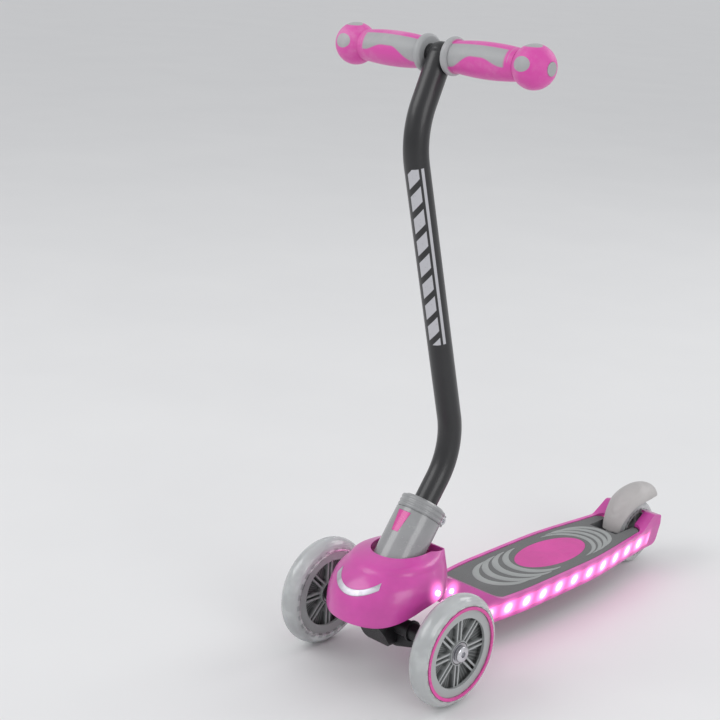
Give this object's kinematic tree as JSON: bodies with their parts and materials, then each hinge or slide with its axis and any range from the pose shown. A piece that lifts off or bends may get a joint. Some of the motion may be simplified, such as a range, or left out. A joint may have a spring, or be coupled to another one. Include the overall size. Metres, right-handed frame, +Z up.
{
  "type": "kick scooter",
  "caption": "Child's three-wheel kick scooter with lit deck edges, S-bent stem, lean steering and a foot brake over the rear wheel.",
  "frame": {"origin": "on the floor, centred between the outermost points in width and length", "axes": "+X to the rider's left, +Y to the rear, +Z up; the scooter travels towards -Y"},
  "size_m": [0.2658, 0.5694, 0.6635],
  "materials": {
    "clear_tyre": "milky clear polyurethane, glossy",
    "wheel_grey": "satin grey moulding",
    "trim_pink": "glossy pink",
    "bearing_steel": "ground steel",
    "bolt_steel": "bright zinc plated",
    "truck_black": "black glass-filled moulding",
    "spring_rubber": "black rubber",
    "sleeve_grey": "glossy grey moulding",
    "stem_black": "satin black powder coat",
    "grip_grey": "soft grey rubber",
    "grip_pink": "soft pink rubber",
    "body_pink": "glossy pink moulding, slightly clear",
    "clear_pink": "clear pink window",
    "board_white": "white solder mask",
    "lamp": "clear lamp",
    "mat_dark": "dark grey rubber, fine grain",
    "mat_light": "lighter grey rubber",
    "badge_pink": "printed pink",
    "badge_silver": "silver print",
    "brake_grey": "warm grey moulding",
    "core_grey": "grey glass-filled moulding",
    "bush_white": "low-friction plastic",
    "cell": "printed metal sleeve",
    "button_black": "soft black"
  },
  "bodies": {
    "front_wheel_left": {"front_tyre_left": "clear_tyre", "front_hub_left": "wheel_grey", "front_trim_left": "trim_pink", "front_bearings_left": "bearing_steel"},
    "front_wheel_right": {"front_tyre_right": "clear_tyre", "front_hub_right": "wheel_grey", "front_trim_right": "trim_pink", "front_bearings_right": "bearing_steel"},
    "rear_wheel": {"rear_tyre": "clear_tyre", "rear_hub": "wheel_grey", "rear_bearings": "bearing_steel"},
    "brake": {"brake_fender": "brake_grey", "brake_pad": "truck_black"},
    "stem_release": {"release_button": "sleeve_grey"},
    "light_switch": {"light_button": "button_black"},
    "steering": {"axle_bolt_left": "bolt_steel", "axle_bolt_right": "bolt_steel", "axle_washers": "bolt_steel", "front_axle": "bearing_steel", "truck": "truck_black", "centring_springs": "spring_rubber", "spring_cover": "truck_black", "steering_column": "bearing_steel", "steering_sleeve": "sleeve_grey", "sleeve_accent": "trim_pink", "clamp_collar": "sleeve_grey", "clamp_bolt": "bolt_steel", "clamp_nut": "bolt_steel", "stem": "stem_black", "crossbar": "stem_black", "grip_core_left": "grip_grey", "grip_core_right": "grip_grey", "grip_shell_left": "grip_pink", "grip_shell_right": "grip_pink", "bar_plug_left": "grip_grey", "bar_plug_right": "grip_grey"},
    "deck": {"deck_shell": "body_pink", "light_strip_left": "clear_pink", "light_strip_right": "clear_pink", "led_board_left": "board_white", "led_board_right": "board_white", "neck_lamps": "lamp", "hood_lamps": "lamp", "deck_core": "core_grey", "head_bushes": "bush_white", "deck_mat": "mat_dark", "mat_badge": "badge_pink", "mat_arcs": "mat_light", "front_hood": "body_pink", "hood_badge": "badge_silver", "rear_spacers": "bearing_steel", "rear_axle_bolt": "bolt_steel", "rear_axle_nut": "bolt_steel", "brake_pin": "bolt_steel", "brake_spring": "bolt_steel", "battery_box": "truck_black", "battery_cells": "cell", "battery_cover": "truck_black", "battery_screw": "bolt_steel"}
  },
  "joints": [
    {"name": "steer", "type": "hinge", "parent": "deck", "child": "steering", "pos_m": [0, -0.20175, 0.1326], "axis": [0, 0.5976, 0.8018], "range_deg": [-16, 16], "stiffness_Nm_per_rad": 12},
    {"name": "front_left_spin", "type": "hinge", "parent": "steering", "child": "front_wheel_left", "pos_m": [0.0923, -0.21815, 0.06], "axis": [1, 0, 0], "continuous": true},
    {"name": "front_right_spin", "type": "hinge", "parent": "steering", "child": "front_wheel_right", "pos_m": [-0.0923, -0.21815, 0.06], "axis": [1, 0, 0], "continuous": true},
    {"name": "rear_spin", "type": "hinge", "parent": "deck", "child": "rear_wheel", "pos_m": [0, 0.23185, 0.04], "axis": [1, 0, 0], "continuous": true},
    {"name": "brake_press", "type": "hinge", "parent": "deck", "child": "brake", "pos_m": [0, 0.18585, 0.044], "axis": [-1, 0, 0], "range_deg": [0, 3], "stiffness_Nm_per_rad": 3, "springref_deg": -2.86},
    {"name": "stem_release_press", "type": "slide", "parent": "steering", "child": "stem_release", "axis": [-0.8192, -0.4599, 0.3428], "range_m": [0, 0.0015], "stiffness_N_per_m": 400},
    {"name": "light_press", "type": "slide", "parent": "deck", "child": "light_switch", "axis": [0, 0, 1], "range_m": [0, 0.0012], "stiffness_N_per_m": 400}
  ]
}
